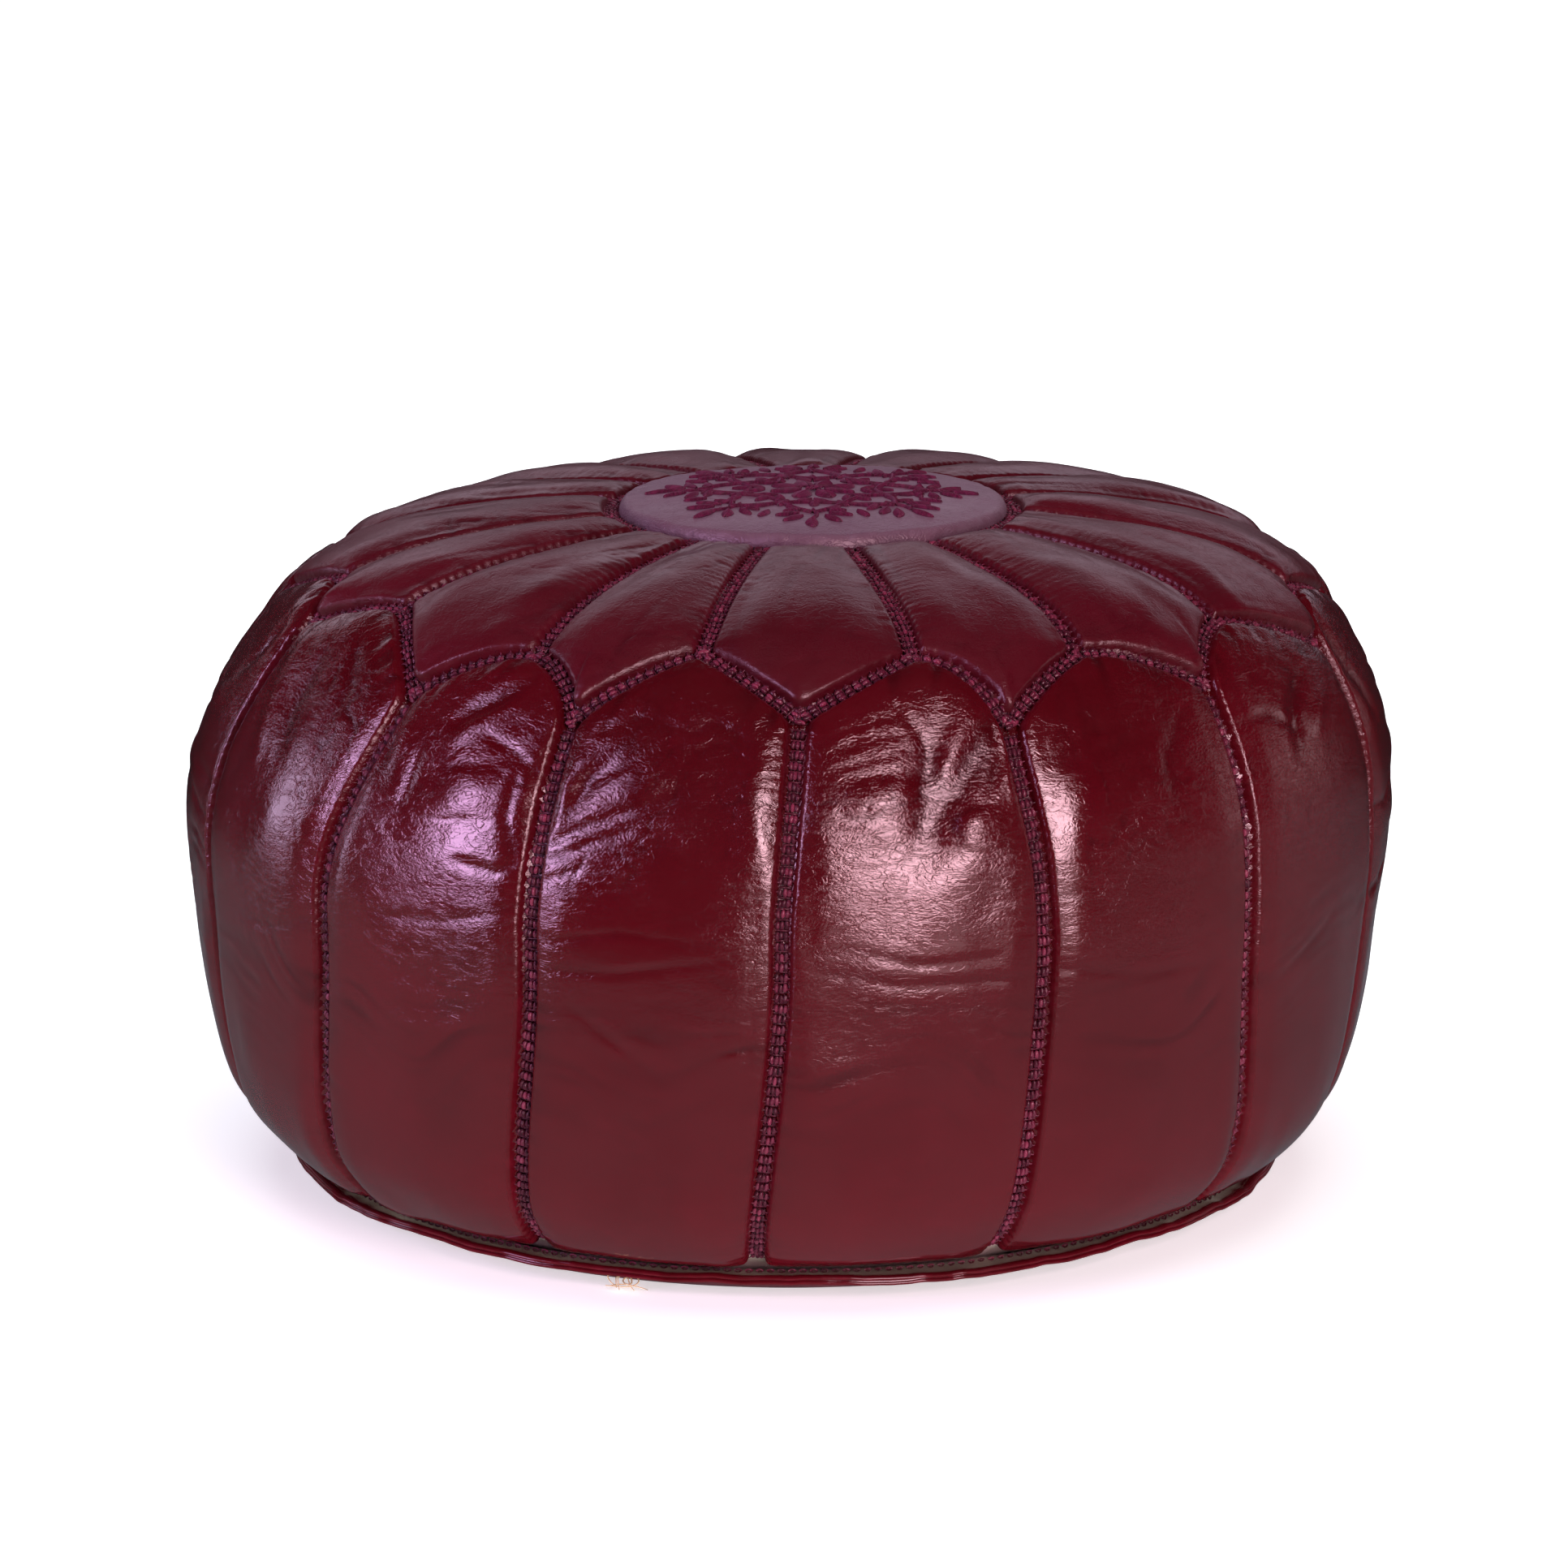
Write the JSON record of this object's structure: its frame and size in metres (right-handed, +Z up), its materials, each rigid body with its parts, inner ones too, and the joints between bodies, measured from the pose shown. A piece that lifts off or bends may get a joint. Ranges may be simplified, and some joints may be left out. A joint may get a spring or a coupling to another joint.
{
  "type": "leather pouf",
  "caption": "Round stuffed leather pouf with arched side panels, petal-shaped top panels, an embroidered medallion, thick braided seams, a welted base and a zip closure underneath.",
  "frame": {"origin": "centre of the body on the floor it stands on", "axes": "+Z up, -Y towards the front, +X to the right seen from the front; the zip runs along X"},
  "size_m": [0.5266, 0.5249, 0.2979],
  "materials": {
    "side_leather": "glossy oxblood, fine pebbled grain",
    "top_leather": "satin burgundy, fine pebbled grain",
    "base_leather": "satin oxblood, creased",
    "braid_thread": "twisted cotton thread, matte",
    "embroidery_thread": "satin-stitch silk thread",
    "zip_tape": "woven tape",
    "zip_coil": "nylon coil",
    "zip_metal": "antique brass",
    "lining_cotton": "plain cotton",
    "filling_rags": "textile stuffing"
  },
  "bodies": {
    "pouf": {"side_panel_01": "side_leather", "side_panel_02": "side_leather", "side_panel_03": "side_leather", "side_panel_04": "side_leather", "side_panel_05": "side_leather", "side_panel_06": "side_leather", "side_panel_07": "side_leather", "side_panel_08": "side_leather", "side_panel_09": "side_leather", "side_panel_10": "side_leather", "side_panel_11": "side_leather", "side_panel_12": "side_leather", "side_panel_13": "side_leather", "side_panel_14": "side_leather", "side_panel_15": "side_leather", "side_panel_16": "side_leather", "top_petal_01": "top_leather", "top_petal_02": "top_leather", "top_petal_03": "top_leather", "top_petal_04": "top_leather", "top_petal_05": "top_leather", "top_petal_06": "top_leather", "top_petal_07": "top_leather", "top_petal_08": "top_leather", "top_petal_09": "top_leather", "top_petal_10": "top_leather", "top_petal_11": "top_leather", "top_petal_12": "top_leather", "top_petal_13": "top_leather", "top_petal_14": "top_leather", "top_petal_15": "top_leather", "top_petal_16": "top_leather", "medallion": "top_leather", "medallion_embroidery": "embroidery_thread", "side_seam_braids": "braid_thread", "zigzag_seam_braids": "braid_thread", "radial_seam_braids": "braid_thread", "medallion_seam_braid": "braid_thread", "base_welt": "base_leather", "base_half_front": "base_leather", "base_half_back": "base_leather", "zip_tape_front": "zip_tape", "zip_tape_back": "zip_tape", "zip_coil_front": "zip_coil", "zip_coil_back": "zip_coil", "zip_bottom_stop": "zip_metal", "zip_top_stops": "zip_metal", "lining": "lining_cotton", "filling": "filling_rags"},
    "slider": {"zip_slider": "zip_metal"},
    "pull": {"zip_pull": "zip_metal"}
  },
  "joints": [
    {"name": "zip_slider_slide", "type": "slide", "parent": "pouf", "child": "slider", "axis": [-1, 0, 0], "range_m": [0, 0.28], "deforming": ["zip_coil_front", "zip_coil_back", "zip_tape_front", "zip_tape_back"]},
    {"name": "pull_tab_hinge", "type": "hinge", "parent": "slider", "child": "pull", "pos_m": [0.146, 0, 0.00675], "axis": [0, -1, 0], "range_deg": [0, 170]}
  ]
}
